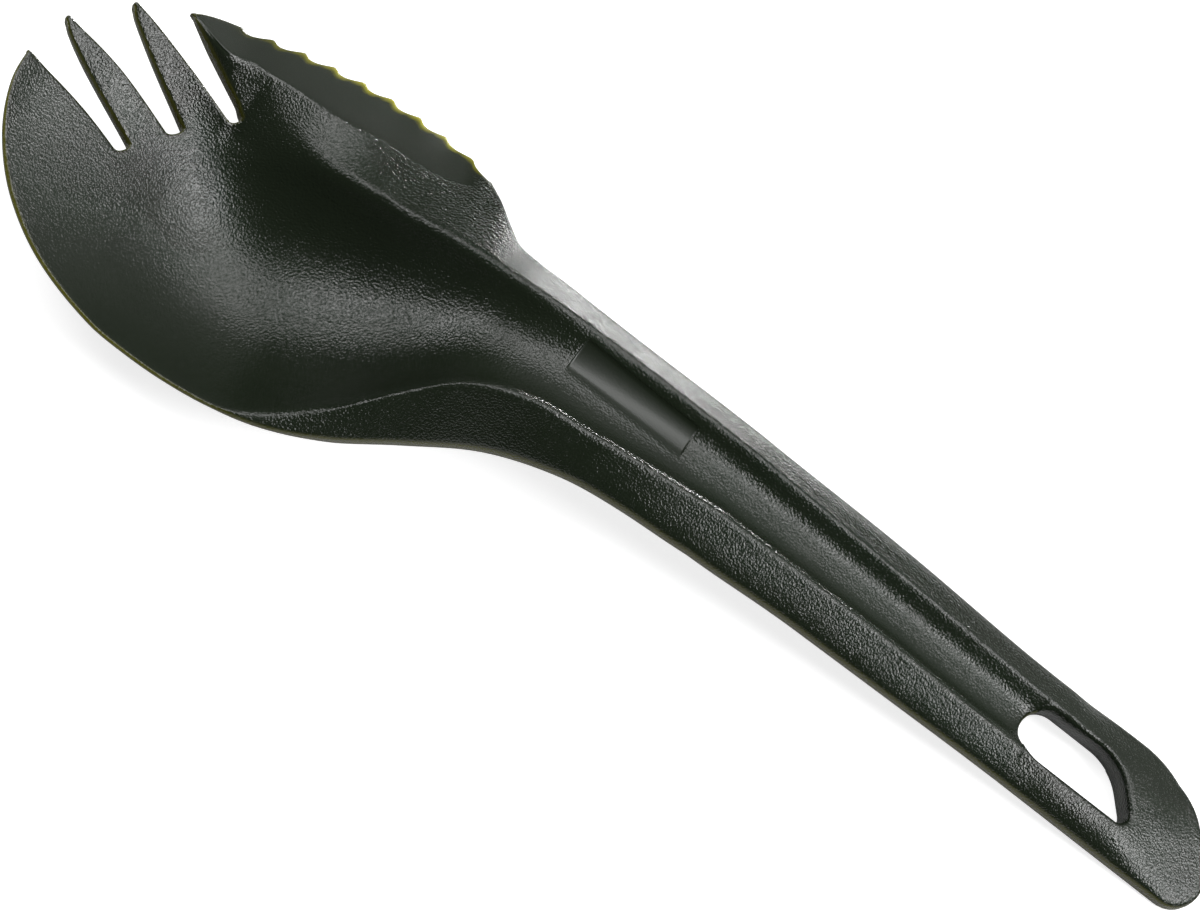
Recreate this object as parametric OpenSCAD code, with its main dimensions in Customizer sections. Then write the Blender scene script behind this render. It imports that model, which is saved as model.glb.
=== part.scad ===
// Camping spork, moulded in one plastic: a spoon bowl with four slanted tines, a serrated blade along
// one side, and a channelled handle that ends in a hanging hole. It is laid out along the handle's
// middle line: x runs from the front tine tip to the handle's end, y towards the blade, z up.
// Heights are first taken from the straight line of the handle's outer edges. place() then stands
// the spork on a table, where it rests on the bowl and on the handle's end.

/* [Head] */
// Length of the head with its shoulders, from the front tine tip to the start of the plain handle
head_length = 96; // [88:1:106]
// Reach of the spoon lip from the handle's middle line
spoon_reach = 29.5; // [27:0.1:33]
// Reach of the blade from the handle's middle line
blade_reach = 19.2; // [17:0.1:21]
// Drop of the rim below the line of the handle's edges
rim_drop = 8.5; // [6:0.1:11]
// Depth of the bowl below its rim
bowl_depth = 9; // [6:0.1:11]
// Thickness of the bowl at the spoon lip
lip_wall = 0.9; // [0.6:0.1:1.4]

/* [Tines] */
// Thickness of the tines at their tips
tip_wall = 1.1; // [0.8:0.1:1.6]
// Width of a blunt tine tip
tip_width = 0.7; // [0.5:0.1:1.2]
// How far the two middle tines belly out on their spoon side
tine_belly = 0.9; // [0:0.1:1.2]
// How far the round root of a slot dips behind the line of the roots
slot_dip = 0.4; // [0.2:0.1:1]

/* [Blade] */
// Distance from tooth to tooth
tooth_pitch = 3.95; // [3:0.05:5]
// Depth of the scallops between the teeth
tooth_depth = 0.5; // [0.2:0.05:0.9]
// Thickness of the cutting edge
blade_edge = 0.5; // [0.3:0.1:1]

/* [Handle] */
// Length of the plain handle behind the head
handle_length = 76.8; // [65:0.1:90]
// Width of the handle where it leaves the head
neck_width = 18.2; // [17:0.1:20]
// Width of the handle at its end
end_width = 16; // [14.5:0.1:17.5]
// Distance between the two crests of the handle where it leaves the head
channel_width = 9.4; // [8:0.1:11]
// Height of the crests above the handle's edges
crest_height = 2.4; // [1.6:0.1:3.4]
// Height of the crests beside the hanging hole
end_crest_height = 1.7; // [1:0.1:2.2]
// Depth of the channel between the crests
channel_depth = 2.2; // [1.4:0.1:3]
// Thickness of the plastic
wall = 1.7; // [1.4:0.1:2.4]

/* [Label panel] */
// Length of the smooth panel in the channel
panel_length = 17; // [12:0.5:20]
// Width of the smooth panel
panel_width = 4.6; // [3:0.1:6]
// How deep the panel is sunk
panel_step = 0.25; // [0.1:0.05:0.5]
// Width of the slope around the panel
panel_edge = 0.2; // [0.1:0.05:0.4]

/* [Hanging hole] */
// Length of the end piece that holds the hole
loop_length = 32; // [29:0.5:38]
// Width of the hole
hole_width = 7; // [5:0.1:8]
// Length of the hole
hole_length = 18; // [14:0.1:19]
// Angle of the slanted end to the handle's middle line
end_angle = 52; // [45:1:60]
// Radius of the pointed corner of the handle's end
tip_radius = 3.5; // [2.5:0.1:5]
// Radius of the blunt corner of the handle's end
back_radius = 14; // [9:0.5:15]
// Gap from the start of the end piece to the hole
hole_setback = 1.5; // [1:0.1:3]
// Distance of the hole from the handle's middle line, to the spoon side
hole_offset = 0.3; // [0:0.1:0.6]
// Radius of the pointed corner of the hole
hole_tip_radius = 1.4; // [1:0.1:1.8]
// Radius of the blunt corner of the hole
hole_back_radius = 7; // [3:0.1:8]
// Rise of the end piece between its outer edge and the hole
loop_crown = 0.3; // [0:0.1:0.6]

/* [Rest] */
// How deep the two places that touch the table are flattened
rest_flat = 0.3; // [0.1:0.05:0.6]

/* [Hidden] */
plastic = "#34372b";
length = head_length + handle_length;
loop_start = length - loop_length;
neck_half = neck_width / 2;
end_half = end_width / 2;
channel_half = channel_width / 2;
hole_half = hole_width / 2;
rail_width = neck_half - channel_half;
middle_y = (spoon_reach - blade_reach) / 2;

// Lines that run along the head. Each pair is a station and a share of the size that the line
// follows. A station is the square root of the way along the head, which gathers stations at the
// steep front of the lip.
lip_shares = [[0, 0.01], [0.05, 0.14], [0.1, 0.25], [0.2, 0.465], [0.3, 0.675], [0.4, 0.855],
              [0.5, 0.98], [0.55, 1], [0.6, 0.993], [0.65, 0.95], [0.7, 0.86], [0.75, 0.685],
              [0.8, 0.445], [0.85, 0.222], [0.9, 0.105], [0.95, 0.045], [1, 0]];
lip_level_shares = [[0, 0.41], [0.1, 0.52], [0.2, 0.72], [0.3, 0.88], [0.4, 0.97], [0.5, 1],
                    [0.68, 1], [0.75, 0.9], [0.8, 0.71], [0.85, 0.44], [0.9, 0.18], [0.95, 0.04], [1, 0]];
shoulder_width_shares = [[0, 0], [0.65, 0], [0.685, 0.24], [0.735, 0.79], [0.77, 1.28], [0.805, 1.53],
                         [0.85, 1.27], [0.9, 1.05], [1, 1]];
shoulder_rise_shares = [[0, 0], [0.65, 0], [0.685, 0.2], [0.735, 1], [0.77, 2.05], [0.805, 2.95],
                        [0.85, 2.65], [0.9, 1.65], [0.95, 1.15], [1, 1]];
ridge_shares = [[0, 1.57], [0.25, 1.4], [0.35, 1.23], [0.43, 1.02], [0.505, 0.81], [0.56, 0.91],
                [0.62, 0.98], [0.7, 1.02], [0.8, 0.86], [0.9, 0.98], [1, 1]];
ridge_drop_shares = [[0, 0.38], [0.2, 0.45], [0.3, 0.55], [0.4, 0.765], [0.47, 0.92], [0.505, 0.96],
                     [0.56, 0.9], [0.615, 0.765], [0.665, 0.6], [0.7, 0.455], [0.735, 0.31],
                     [0.77, 0.165], [0.8, 0.05], [0.83, 0], [1, 0]];
blade_shares = [[0.3, -0.38], [0.36, -0.065], [0.4, 0.135], [0.44, 0.3], [0.505, 0.56], [0.56, 0.755],
                [0.62, 0.925], [0.665, 0.985], [0.69, 1], [0.712, 0.96], [0.732, 0.845], [0.751, 0.61],
                [0.77, 0.3], [0.786, 0.075], [0.805, 0], [0.83, -0.02], [0.87, -0.015], [1, 0]];
blade_level_shares = [[0.3, 0.3], [0.36, 0.41], [0.43, 0.58], [0.51, 0.76], [0.585, 0.88], [0.655, 0.94],
                      [0.715, 0.88], [0.743, 0.7], [0.762, 0.47], [0.784, 0.235], [0.8, 0.11],
                      [0.83, 0.01], [0.86, 0], [1, 0]];
hollow_shares = [[0, -0.32], [0.2, -0.31], [0.3, -0.265], [0.36, -0.19], [0.4, -0.1], [0.45, 0.16],
                 [0.5, 0.56], [0.55, 0.9], [0.6, 1], [0.65, 0.94], [0.7, 0.735], [0.75, 0.47],
                 [0.8, 0.25], [0.85, 0.1], [0.9, 0.03], [1, 0]];
bevel_shares = [[0.45, 0.45], [0.505, 0.53], [0.58, 0.48], [0.65, 0.5], [0.69, 0.56], [0.715, 0.66],
                [0.74, 0.9]];

// Places along the head, as shares of its length, and across it, as shares of the spoon lip's reach
tine_tip_along_shares = [0.0005, 0.011, 0.065, 0.127];
tine_tip_across_shares = [-0.312, -0.086, 0.152, 0.283];
slot_near_along_shares = [0.15, 0.185, 0.24];
slot_near_across_shares = [-0.335, -0.13, 0.078];
slot_far_along_shares = [0.165, 0.205, 0.255];
slot_far_across_shares = [-0.258, -0.06, 0.12];
lip_root_share = 0.058;
bowl_end_share = 0.594;
bowl_low_share = 0.35;
panel_start_share = 0.747;
panel_middle_share = 0.1;
shoulder_start_share = 0.43;
shoulder_end_share = 0.79;
heel_share = 0.548;
rail_start_share = 0.66;
first_tooth_share = 0.19;

// Exponent of the section between the two crests: higher is flatter below
hollow_power = 2.4;
// Share of a scallop's length at which it is deepest comes from this exponent
scallop_power = 0.6;
// Exponent that moves a tine's belly towards its tip
belly_power = 0.6;

// Numbers of steps in the surfaces
bowl_rows = 18;
tine_rows = 9;
tooth_rows = 7;
channel_columns = 8;
rail_columns = 3;
corner_steps = 6;

function mix(a, b, k) = a + (b - a) * k;
function steps(n) = [for (i = [0:n]) i / n];
function bounded(v, low, high) = min(max(v, low), high);

// A smooth curve through a table of stations and shares
function interval(table, u, i = 0) =
    i + 2 >= len(table) || u < table[i + 1][0] ? i : interval(table, u, i + 1);
function slope_at(table, i) =
    let (a = table[max(i - 1, 0)], b = table[min(i + 1, len(table) - 1)]) (b[1] - a[1]) / (b[0] - a[0]);
function curve(table, u) =
    let (v = bounded(u, table[0][0], table[len(table) - 1][0]), i = interval(table, v),
         a = table[i], b = table[i + 1], w = b[0] - a[0], k = (v - a[0]) / w)
    a[1] * (1 + 2 * k) * pow(1 - k, 2) + b[1] * k * k * (3 - 2 * k)
    + w * k * (1 - k) * (slope_at(table, i) * (1 - k) - slope_at(table, i + 1) * k);

function station(x) = sqrt(bounded(x / head_length, 0, 1));
function along_channel(x) = bounded((x - head_length) / (loop_start - head_length), 0, 1);

// The four lines that shape the top: the outer edge and crest on the spoon side, then the ridge or
// crest and the outer edge on the blade side. Each has a place across and a level.
function plain_half(x) = mix(neck_half, end_half, along_channel(x));
function plain_crest(x) = mix(channel_half, hole_half, along_channel(x));
function lip_y(x) = -plain_half(x) - (spoon_reach - neck_half) * curve(lip_shares, station(x));
function near_crest_y(x) =
    x > head_length ? -plain_crest(x) : lip_y(x) + rail_width * curve(shoulder_width_shares, station(x));
function ridge_y(x) = plain_crest(x) * curve(ridge_shares, station(x));
function blade_y(x) = plain_half(x) + (blade_reach - neck_half) * curve(blade_shares, station(x));
function crest_level(x) = mix(crest_height, end_crest_height, along_channel(x));
function lip_z(x) = -rim_drop * curve(lip_level_shares, station(x));
function near_crest_z(x) = lip_z(x) + crest_level(x) * curve(shoulder_rise_shares, station(x));
function ridge_z(x) = crest_level(x) - (crest_height + rim_drop) * curve(ridge_drop_shares, station(x));
function blade_z(x) = -rim_drop * curve(blade_level_shares, station(x));
function hollow(x) =
    mix(channel_depth, end_crest_height, along_channel(x))
    + (bowl_depth - channel_depth) * curve(hollow_shares, station(x));

// Level of the top at a place in plan
function section(t) = 1 - pow(abs(2 * t - 1), hollow_power);
function hollow_z(x, y) =
    let (a = near_crest_y(x), b = ridge_y(x), t = bounded((y - a) / (b - a), 0, 1))
    mix(near_crest_z(x), ridge_z(x), t) - hollow(x) * section(t);
function blade_side_z(x, y) =
    let (a = ridge_y(x), b = blade_y(x)) mix(ridge_z(x), blade_z(x), bounded((y - a) / (b - a), 0, 1));
function spoon_side_z(x, y) =
    let (a = lip_y(x), b = near_crest_y(x)) mix(lip_z(x), near_crest_z(x), bounded((y - a) / (b - a), 0, 1));

// The spork on the table: turned about the handle's end until the bowl touches too
bowl_low = head_length * bowl_low_share;
bowl_low_y = mix(near_crest_y(bowl_low), ridge_y(bowl_low), 1 / 2);
rest_angle = atan2(-hollow_z(bowl_low, bowl_low_y), length - bowl_low);
front_tip = head_length * tine_tip_along_shares[0];
front_x = length - (length - front_tip) * cos(rest_angle) + (lip_z(front_tip) - tip_wall) * sin(rest_angle);
middle_x = (front_x + length) / 2;
function place(p, z) =
    let (back = length - p[0])
    [length - back * cos(rest_angle) + z * sin(rest_angle) - middle_x, p[1] + middle_y,
     back * sin(rest_angle) + (z + wall) * cos(rest_angle) - rest_flat];
function under(p, z) = let (q = place(p, z)) [q[0], q[1], max(q[2], 0)];

// A closed sheet between a grid of top points and a grid of under points. Rows run towards the
// handle's end, columns towards the blade. A ring joins its last row to its first.
module sheet(top, bottom, ring = false) {
    rows = len(top);
    columns = len(top[0]);
    count = rows * columns;
    function at(i, j) = (i % rows) * columns + j;
    function pair(a, b, c, d) = [[a, b, c], [a, c, d]];
    last = columns - 1;
    end = count - columns;
    bands = ring ? rows : rows - 1;
    faces = [
        for (i = [0:bands - 1], j = [0:last - 1])
            each pair(at(i, j), at(i, j + 1), at(i + 1, j + 1), at(i + 1, j)),
        for (i = [0:bands - 1], j = [0:last - 1])
            each pair(count + at(i, j), count + at(i + 1, j), count + at(i + 1, j + 1), count + at(i, j + 1)),
        for (i = [0:bands - 1])
            each pair(at(i, 0), at(i + 1, 0), count + at(i + 1, 0), count + at(i, 0)),
        for (i = [0:bands - 1])
            each pair(at(i + 1, last), at(i, last), count + at(i, last), count + at(i + 1, last)),
        for (j = ring ? [] : [0:last - 1])
            each pair(at(0, j + 1), at(0, j), count + at(0, j), count + at(0, j + 1)),
        for (j = ring ? [] : [0:last - 1])
            each pair(end + j, end + j + 1, count + end + j + 1, count + end + j)
    ];
    points = [for (row = top) each row, for (row = bottom) each row];
    color(plastic) polyhedron(points, faces);
}

// Plan points of a strip between two lines that are given as lists of points
function strip(near_line, far_line, columns) =
    [for (i = [0:len(near_line) - 1]) [for (k = steps(columns)) mix(near_line[i], far_line[i], k)]];
function levels(plan, level) = [for (row = plan) [for (p = row) place(p, level(p[0], p[1]))]];
function unders(plan, level, thickness) =
    let (rows = len(plan) - 1, columns = len(plan[0]) - 1)
    [for (i = [0:rows]) [for (j = [0:columns])
        let (p = plan[i][j]) under(p, level(p[0], p[1]) - thickness(i / rows, j / columns))]];
module strip_sheet(plan, level, thickness = function (along, across) wall) {
    sheet(levels(plan, level), unders(plan, level, thickness));
}
function line_points(xs, line) = [for (x = xs) [x, line(x)]];
function places(a, b, n) = [for (k = steps(n)) mix(a, b, k)];

hollow_level = function (x, y) hollow_z(x, y);
blade_level = function (x, y) blade_side_z(x, y);
spoon_level = function (x, y) spoon_side_z(x, y);
lip_line = function (x) lip_y(x);
near_crest_line = function (x) near_crest_y(x);
ridge_line = function (x) ridge_y(x);

// Corner points of the slots and the tine tips in plan
function tip_at(i) = [head_length * tine_tip_along_shares[i], spoon_reach * tine_tip_across_shares[i]];
function slot_near(i) = [head_length * slot_near_along_shares[i], spoon_reach * slot_near_across_shares[i]];
function slot_far(i) = [head_length * slot_far_along_shares[i], spoon_reach * slot_far_across_shares[i]];
lip_root_x = head_length * lip_root_share;
lip_root = [lip_root_x, lip_y(lip_root_x)];
slot_end = [slot_far(2)[0], ridge_y(slot_far(2)[0])];

// The bowl's front edge: the roots of three tines, with the round root of a slot behind each
function root_arc(a, b, n) =
    let (d = b - a, back = [d[1], -d[0]] / norm(d))
    [for (k = steps(n)) mix(a, b, k) + back * slot_dip * sqrt(1 - pow(2 * k - 1, 2))];
function dropped(list) = [for (i = [1:len(list) - 1]) list[i]];
bowl_front = concat(
    places(lip_root, slot_near(0), tine_rows - 1), dropped(root_arc(slot_near(0), slot_far(0), corner_steps)),
    dropped(places(slot_far(0), slot_near(1), rail_columns)),
    dropped(root_arc(slot_near(1), slot_far(1), corner_steps)),
    dropped(places(slot_far(1), slot_near(2), rail_columns)),
    dropped(root_arc(slot_near(2), slot_end, corner_steps)));

function across_share(p) =
    let (a = near_crest_y(p[0]), b = ridge_y(p[0])) bounded((p[1] - a) / (b - a), 0, 1);
function channel_place(x, share) = [x, mix(near_crest_y(x), ridge_y(x), share)];
function bowl_row(k) = [for (p = bowl_front)
    let (x = mix(p[0], head_length * bowl_end_share, k)) channel_place(x, across_share(p))];

module bowl() {
    root_columns = (len(bowl_front) - 1) / (tine_rows - 1);
    strip_sheet([for (k = steps(bowl_rows)) bowl_row(k)], hollow_level,
                function (along, across) mix(lip_wall, wall, max(min(root_columns * across, 1), along)));
}

// A tine's spoon side from its blunt tip back to its root, with its belly near the tip
half_tip = [0, tip_width / 2];
function belly_edge(tip, root) =
    [for (k = steps(tine_rows)) mix(tip, root, k) - [0, tine_belly * sin(180 * pow(k, belly_power))]];

module spoon_side_tine() {
    lip_edge = [for (k = steps(tine_rows)) let (x = mix(front_tip, lip_root_x, k * k)) [x, lip_y(x)]];
    strip_sheet(strip(lip_edge, places(tip_at(0), slot_near(0), tine_rows), tine_rows - 1), hollow_level,
                function (along, across) mix(tip_wall, mix(lip_wall, wall, across), along));
}
module middle_tine(i) {
    near_edge = belly_edge(tip_at(i) - half_tip, slot_far(i - 1));
    far_edge = places(tip_at(i) + half_tip, slot_near(i), tine_rows);
    strip_sheet(strip(near_edge, far_edge, rail_columns), hollow_level,
                function (along, across) mix(tip_wall, wall, along));
}
module second_tine() {
    middle_tine(1);
}
module third_tine() {
    middle_tine(2);
}

// The cutting edge: scallops that drop steeply behind each tooth and rise slowly to the next
first_tooth = head_length * first_tooth_share;
heel = head_length * heel_share;
function scallop(x) =
    let (phase = (x - first_tooth) / tooth_pitch)
    x < first_tooth || x > heel ? 0 : tooth_depth * sin(180 * pow(phase - floor(phase), scallop_power));
function cutting_y(x) = blade_y(x) - scallop(x);
function bevel_y(x) = mix(ridge_y(x), blade_y(x), curve(bevel_shares, station(x)));
cutting_line = function (x) cutting_y(x);
bevel_line = function (x) bevel_y(x);
blade_rows = round((heel - slot_end[0]) / tooth_pitch * tooth_rows);
blade_places = places(slot_end[0], heel, blade_rows);

module blade_side_tine() {
    rows = round((slot_end[0] - tip_at(3)[0]) / tooth_pitch * tooth_rows);
    xs = places(tip_at(3)[0], slot_end[0], rows);
    inner = places(tip_at(3) - half_tip, slot_end, rows);
    strip_sheet(strip(inner, line_points(xs, cutting_line), 2 * rail_columns), blade_level,
                function (along, across) mix(mix(tip_wall, wall, along), blade_edge, max(2 * across - 1, 0)));
}
module blade_flange() {
    plan = strip(line_points(blade_places, ridge_line), line_points(blade_places, bevel_line), rail_columns);
    strip_sheet(plan, blade_level);
}
module serrated_blade() {
    inner = line_points(blade_places, bevel_line);
    plan = strip(inner, line_points(blade_places, cutting_line), rail_columns);
    strip_sheet(plan, blade_level, function (along, across) mix(wall, blade_edge, across));
}

// The channel from the bowl to the hanging loop, in three lengths
panel_start = head_length * panel_start_share;
panel_end = panel_start + panel_length;
function channel_plan(a, b, rows) =
    let (xs = places(a, b, rows))
    strip(line_points(xs, near_crest_line), line_points(xs, ridge_line), channel_columns);

module neck_channel() {
    xs = places(head_length * bowl_end_share, panel_start, corner_steps);
    strip_sheet([for (x = xs) [for (p = bowl_front) channel_place(x, across_share(p))]], hollow_level);
}
module label_panel() {
    panel_y = panel_width * panel_middle_share;
    low = panel_y - panel_width / 2;
    high = panel_y + panel_width / 2;
    panel_ys = [low - panel_edge, low, panel_y, high, high + panel_edge];
    xs = places(panel_start, panel_end, corner_steps);
    plan = [for (x = xs) [for (y = concat(near_crest_y(x), panel_ys, ridge_y(x))) [x, y]]];
    strip_sheet(plan, function (x, y) hollow_z(x, y) - (y >= low && y <= high ? panel_step : 0));
}
module handle_channel() {
    strip_sheet(channel_plan(panel_end, loop_start, 2 * corner_steps), hollow_level);
}

// The sloping sides of the shoulder and the handle
function rail_places(a, b) = places(a, b, 3 * corner_steps);
shoulder_end = head_length * shoulder_end_share;
module spoon_side(a, b) {
    xs = rail_places(a, b);
    plan = strip(line_points(xs, lip_line), line_points(xs, near_crest_line), rail_columns);
    strip_sheet(plan, spoon_level);
}
module spoon_side_shoulder() {
    spoon_side(head_length * shoulder_start_share, shoulder_end);
}
module spoon_side_rail() {
    spoon_side(shoulder_end, loop_start);
}
module blade_side_rail() {
    xs = concat(places(heel, head_length * rail_start_share, 2 * corner_steps),
                dropped(places(head_length * rail_start_share, loop_start, 2 * corner_steps)));
    strip_sheet(strip(line_points(xs, ridge_line), line_points(xs, cutting_line), rail_columns), blade_level);
}

// An outline with a slanted end, from its front on the spoon side round to its front on the blade
// side. Both the handle's end and the hole in it have this form.
function corner_arc(start, heading, turn, radius) =
    let (centre = start + radius * [-sin(heading), cos(heading)])
    [for (k = steps(corner_steps)) centre + radius * [sin(heading + turn * k), -cos(heading + turn * k)]];
function slant_outline(front, end, near_half, far_half, near_radius, far_radius) =
    let (turn = 180 - end_angle,
         tip = end + near_radius * (tan(turn / 2) - 1),
         near_start = [tip - near_radius * tan(turn / 2), -near_half],
         back = tip - (near_half + far_half) / tan(end_angle),
         near = corner_arc(near_start, 0, turn, near_radius),
         far_reach = far_radius * tan(end_angle / 2),
         far_start = [back + far_reach * cos(end_angle), far_half - far_reach * sin(end_angle)],
         far = corner_arc(far_start, turn, end_angle, far_radius))
    concat(places([front, -near_half], near[0], corner_steps), dropped(near),
           dropped(places(near[corner_steps], far[0], corner_steps)), dropped(far),
           dropped(places(far[corner_steps], [front, far_half], corner_steps)));

module hanging_loop() {
    hole_start = loop_start + hole_setback;
    hole_front = hole_start + hole_half;
    front_half = plain_half(loop_start);
    front_crest = plain_crest(loop_start);
    front_ys = concat(places(front_half, front_crest, rail_columns),
                      dropped(places(front_crest, -front_crest, channel_columns)),
                      dropped(places(-front_crest, -front_half, rail_columns)));
    turns = len(front_ys) - 1;
    outer_sides = slant_outline(loop_start, length, front_half, front_half, tip_radius, back_radius);
    hole_sides = slant_outline(hole_front, hole_start + hole_length, hole_half, hole_half,
                               hole_tip_radius, hole_back_radius);
    outer = concat(outer_sides, [for (i = [1:turns - 1]) [loop_start, front_ys[i]]]);
    front_arc = [for (i = [1:turns - 1])
        let (a = 180 * i / turns) [hole_front - hole_half * sin(a), hole_half * cos(a)]];
    hole = [for (p = concat(hole_sides, front_arc)) p - [0, hole_offset]];
    sides = len(outer_sides);
    function outer_z(i) = i < sides ? 0
        : let (y = abs(outer[i][1]))
          y > front_crest ? mix(end_crest_height, 0, (y - front_crest) / (front_half - front_crest))
                          : hollow_z(loop_start, y);
    function hole_z(i) = i < sides ? end_crest_height
        : end_crest_height - hollow(loop_start) * sin(180 * (i - sides + 1) / turns);
    function ring_z(i, k) = mix(outer_z(i), hole_z(i), k) + (i < sides ? loop_crown * sin(180 * k) : 0);
    ks = steps(rail_columns);
    rings = [for (i = [0:len(outer) - 1]) [for (k = ks) mix(outer[i], hole[i], k)]];
    top = [for (i = [0:len(outer) - 1]) [for (j = [0:rail_columns]) place(rings[i][j], ring_z(i, ks[j]))]];
    bottom = [for (ring = rings) [for (p = ring) under(p, -wall)]];
    sheet(top, bottom, ring = true);
}

bowl();
spoon_side_tine();
second_tine();
third_tine();
blade_side_tine();
blade_flange();
serrated_blade();
neck_channel();
label_panel();
handle_channel();
spoon_side_shoulder();
spoon_side_rail();
blade_side_rail();
hanging_loop();
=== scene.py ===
# %% [markdown]
# # A camping spork
# The real spork is one dark olive plastic moulding: a spoon with four slanted tines in front, a
# serrated blade along one side, and a channelled handle that ends in a hanging hole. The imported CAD
# part gives its sizes as fourteen plain regions. This lesson makes one seamless skin over them, with
# rounded rims and a moulded grain, and then lights it like a studio picture.

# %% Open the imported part
import bisect
import math

import bmesh
import bpy
from mathutils import Matrix, Vector
from mathutils.kdtree import KDTree


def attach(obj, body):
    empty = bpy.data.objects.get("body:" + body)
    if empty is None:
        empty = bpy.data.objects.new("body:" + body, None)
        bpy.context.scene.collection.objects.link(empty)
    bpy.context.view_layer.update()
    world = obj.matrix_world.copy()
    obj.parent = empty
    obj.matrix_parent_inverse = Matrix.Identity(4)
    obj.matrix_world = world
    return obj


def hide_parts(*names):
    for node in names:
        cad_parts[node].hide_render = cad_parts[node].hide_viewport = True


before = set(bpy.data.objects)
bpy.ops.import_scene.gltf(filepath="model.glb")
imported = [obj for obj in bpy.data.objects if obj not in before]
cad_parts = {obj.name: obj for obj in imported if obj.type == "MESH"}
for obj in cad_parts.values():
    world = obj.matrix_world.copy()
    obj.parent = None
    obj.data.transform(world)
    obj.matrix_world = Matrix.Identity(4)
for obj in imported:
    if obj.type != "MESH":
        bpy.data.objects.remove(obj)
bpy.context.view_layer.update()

# %% [markdown]
# ## The lines that shape the skin
# A moulding like this is drawn as a few long lines: the spoon lip, the two crests of the handle, the
# blade's edge. Each is a smooth curve through a short table of stations and shares. The tables start from
# those of the CAD source, so that the skin lies on the regions that it stands for, and are tuned a little
# against the picture. All lengths here are in millimetres, x from the front tine to the handle's end, y
# towards the blade, z up from the line of the handle's edges.

# %% Driving sizes
HEAD, HANDLE, LOOP = 96.0, 76.8, 32.0
LENGTH = HEAD + HANDLE
LOOP_START = LENGTH - LOOP
SPOON_REACH, BLADE_REACH = 29.5, 19.2
NECK_HALF, END_HALF = 9.1, 8.0
CHANNEL_HALF, HOLE_HALF = 4.7, 3.5
RIM_DROP, BOWL_DEPTH, CHANNEL_DEPTH = 8.5, 9.0, 2.2
CREST, END_CREST = 2.4, 1.7
WALL, LIP_WALL, TIP_WALL, BLADE_EDGE = 1.7, 0.9, 1.1, 0.5
RAIL = NECK_HALF - CHANNEL_HALF
print("spork length along the handle:", LENGTH, "mm")


# %% Smooth curves through tables
def mix(a, b, k):
    return a + (b - a) * k


def ease(value, low, high):
    """Goes smoothly from 0 at low to 1 at high."""
    k = min(max((value - low) / (high - low), 0.0), 1.0)
    return k * k * (3 - 2 * k)


def curve(table, u):
    """The smooth curve through a table of (station, share) at station u."""
    u = min(max(u, table[0][0]), table[-1][0])
    i = min(bisect.bisect_right(table, (u, math.inf)) - 1, len(table) - 2)

    def slope(j):
        a, b = table[max(j - 1, 0)], table[min(j + 1, len(table) - 1)]
        return (b[1] - a[1]) / (b[0] - a[0])

    (u0, v0), (u1, v1) = table[i], table[i + 1]
    w, k = u1 - u0, (u - u0) / (u1 - u0)
    hermite = v0 * (1 + 2 * k) * (1 - k) ** 2 + v1 * k * k * (3 - 2 * k)
    return hermite + w * k * (1 - k) * (slope(i) * (1 - k) - slope(i + 1) * k)


def station(x):
    return math.sqrt(min(max(x / HEAD, 0.0), 1.0))


def along_channel(x):
    return min(max((x - HEAD) / (LOOP_START - HEAD), 0.0), 1.0)


print("half way between two stations:", curve([(0, 0), (1, 1)], 0.5))

# %% Tables of the head
LIP = [(0, .01), (.05, .14), (.1, .25), (.2, .475), (.3, .695), (.4, .877), (.5, .992), (.55, 1.005),
       (.6, .993), (.65, .95), (.7, .86), (.75, .685), (.8, .445), (.85, .222), (.9, .105), (.95, .045),
       (1, 0)]
LIP_LEVEL = [(0, .41), (.1, .52), (.2, .72), (.3, .88), (.4, .97), (.5, 1), (.68, 1), (.75, .9), (.8, .71),
             (.85, .44), (.9, .18), (.95, .04), (1, 0)]
SHOULDER_WIDTH = [(0, 0), (.65, 0), (.685, .24), (.735, .79), (.77, 1.28), (.805, 1.53), (.85, 1.27),
                  (.9, 1.08), (.95, 1.09), (1, 1.136)]
SHOULDER_RISE = [(0, 0), (.65, 0), (.685, .2), (.735, 1), (.77, 2.05), (.805, 2.95), (.85, 2.65),
                 (.9, 1.67), (.95, 1.24), (1, 1.14)]
RIDGE = [(0, 1.57), (.25, 1.4), (.35, 1.23), (.43, 1.02), (.505, .86), (.56, .92), (.62, .98), (.7, 1.02),
         (.8, .86), (.9, .98), (1, 1)]
RIDGE_DROP = [(0, .38), (.2, .45), (.3, .55), (.4, .765), (.47, .9), (.505, .93), (.56, .88), (.615, .76),
              (.665, .59), (.7, .43), (.735, .29), (.77, .15), (.8, .045), (.83, 0), (1, 0)]
BLADE = [(.3, -.38), (.36, -.065), (.4, .135), (.44, .3), (.505, .56), (.56, .755), (.62, .925),
         (.665, .985), (.69, 1), (.712, .96), (.732, .845), (.751, .61), (.77, .3), (.786, .075),
         (.805, 0), (.83, -.02), (.87, -.015), (1, 0)]
BLADE_LEVEL = [(.3, .28), (.36, .39), (.43, .58), (.51, .76), (.585, .88), (.655, .94), (.715, .85),
               (.743, .62), (.762, .39), (.784, .2), (.8, .1), (.83, .01), (.86, 0), (.92, -.01),
               (.96, -.03), (1, -.035)]
HOLLOW = [(0, -.32), (.1, -.3), (.2, -.23), (.3, -.12), (.36, -.03), (.4, .06), (.45, .23), (.5, .49),
          (.55, .79), (.6, .96), (.65, .97), (.7, .79), (.75, .49), (.8, .25), (.85, .1), (.9, .03), (1, 0)]
BEVEL = [(.357, .27), (.38, .22), (.408, .19), (.436, .21), (.453, .31), (.47, .42), (.507, .465),
         (.539, .47), (.57, .46), (.596, .473), (.622, .497), (.651, .528), (.68, .53), (.704, .556),
         (.724, .66), (.739, .78), (.76, .82), (1, .5)]
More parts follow.
